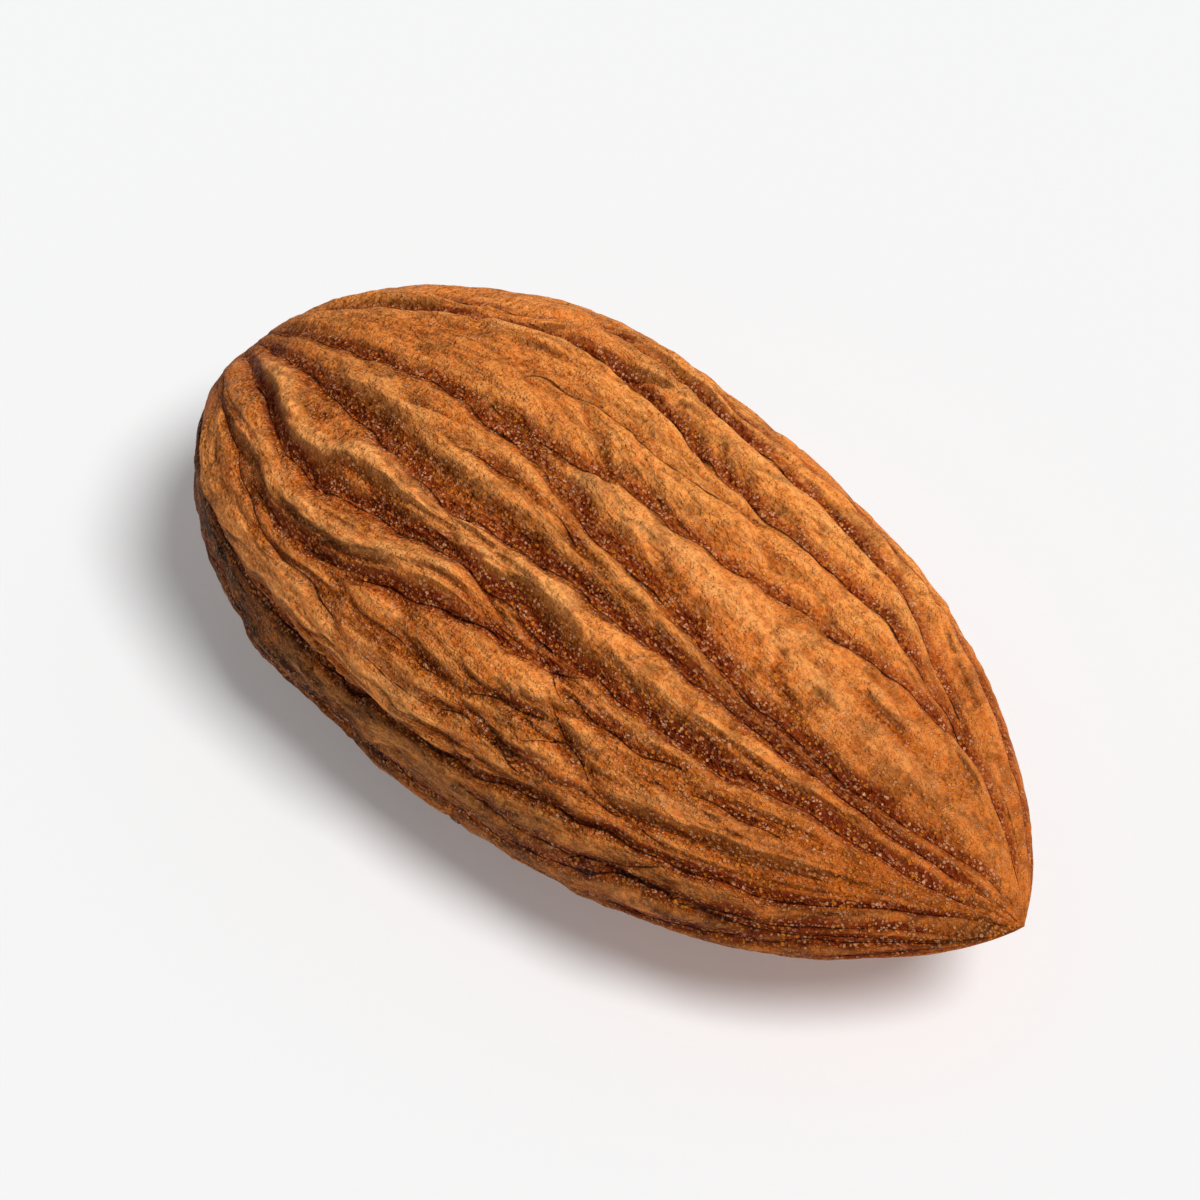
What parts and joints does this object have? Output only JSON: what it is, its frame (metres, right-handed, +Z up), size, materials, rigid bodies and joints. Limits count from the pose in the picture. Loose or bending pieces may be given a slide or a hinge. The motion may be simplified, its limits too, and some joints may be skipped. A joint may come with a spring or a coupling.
{
  "type": "almond",
  "caption": "Shelled almond kernel in its brown skin, a flattened teardrop with furrows and folds running from the round end to the pointed tip, resting on its broad side",
  "frame": {"origin": "Centre of the bounding box in X and Y, on the flat rest spot at the underside, Z = 0", "axes": "+X from the round end to the pointed tip, +Y towards the far margin, +Z up, out of the broad upper side"},
  "size_m": [0.024, 0.012, 0.0077],
  "materials": {
    "skin": "dry, finely grained brown seed skin, matte with a faint sheen on the fold tops"
  },
  "bodies": {
    "root": {"almond_kernel": "skin"}
  },
  "joints": []
}
